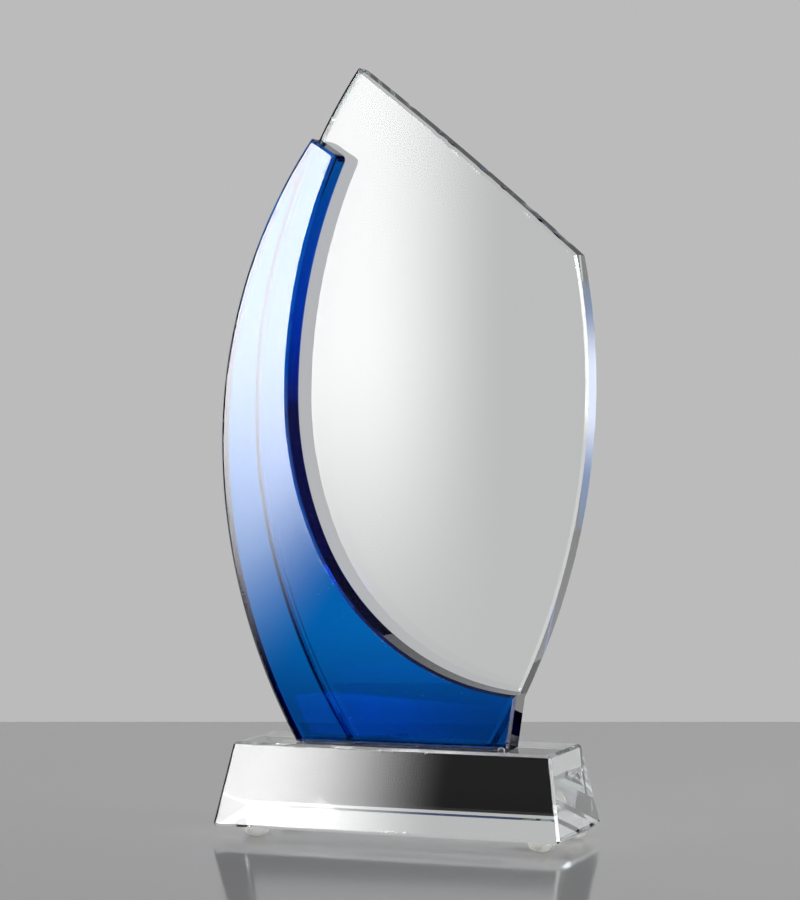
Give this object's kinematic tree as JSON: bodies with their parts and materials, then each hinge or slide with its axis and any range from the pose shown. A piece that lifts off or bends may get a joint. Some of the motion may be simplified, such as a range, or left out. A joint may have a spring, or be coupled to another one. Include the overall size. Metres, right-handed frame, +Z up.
{
  "type": "crystal award",
  "caption": "Free-standing crystal award: clear pointed sail plaque with a blue crescent bonded on its front, on a clear trapezoid block with soft bumper feet.",
  "frame": {"origin": "on the table, under the middle of the block's footprint; the plates overhang it equally to both sides", "axes": "+Z up, +X to the right seen from the front, front face towards -Y"},
  "size_m": [0.122, 0.0456, 0.25],
  "materials": {
    "base_crystal": "polished clear optical crystal",
    "plaque_crystal": "polished clear optical crystal",
    "blue_crystal": "polished cobalt blue crystal",
    "plate_glue": "clear cured adhesive film",
    "base_glue": "clear cured adhesive film",
    "foot_polyurethane": "milky translucent polyurethane",
    "foot_tape": "pressure-sensitive adhesive"
  },
  "bodies": {
    "root": {"crystal_base": "base_crystal", "clear_plaque": "plaque_crystal", "blue_crescent": "blue_crystal", "plaque_crescent_bond": "plate_glue", "plaque_base_bond": "base_glue", "crescent_base_bond": "base_glue", "foot_front_left": "foot_polyurethane", "foot_front_right": "foot_polyurethane", "foot_rear_left": "foot_polyurethane", "foot_rear_right": "foot_polyurethane", "foot_adhesive_front_left": "foot_tape", "foot_adhesive_front_right": "foot_tape", "foot_adhesive_rear_left": "foot_tape", "foot_adhesive_rear_right": "foot_tape"}
  },
  "joints": []
}
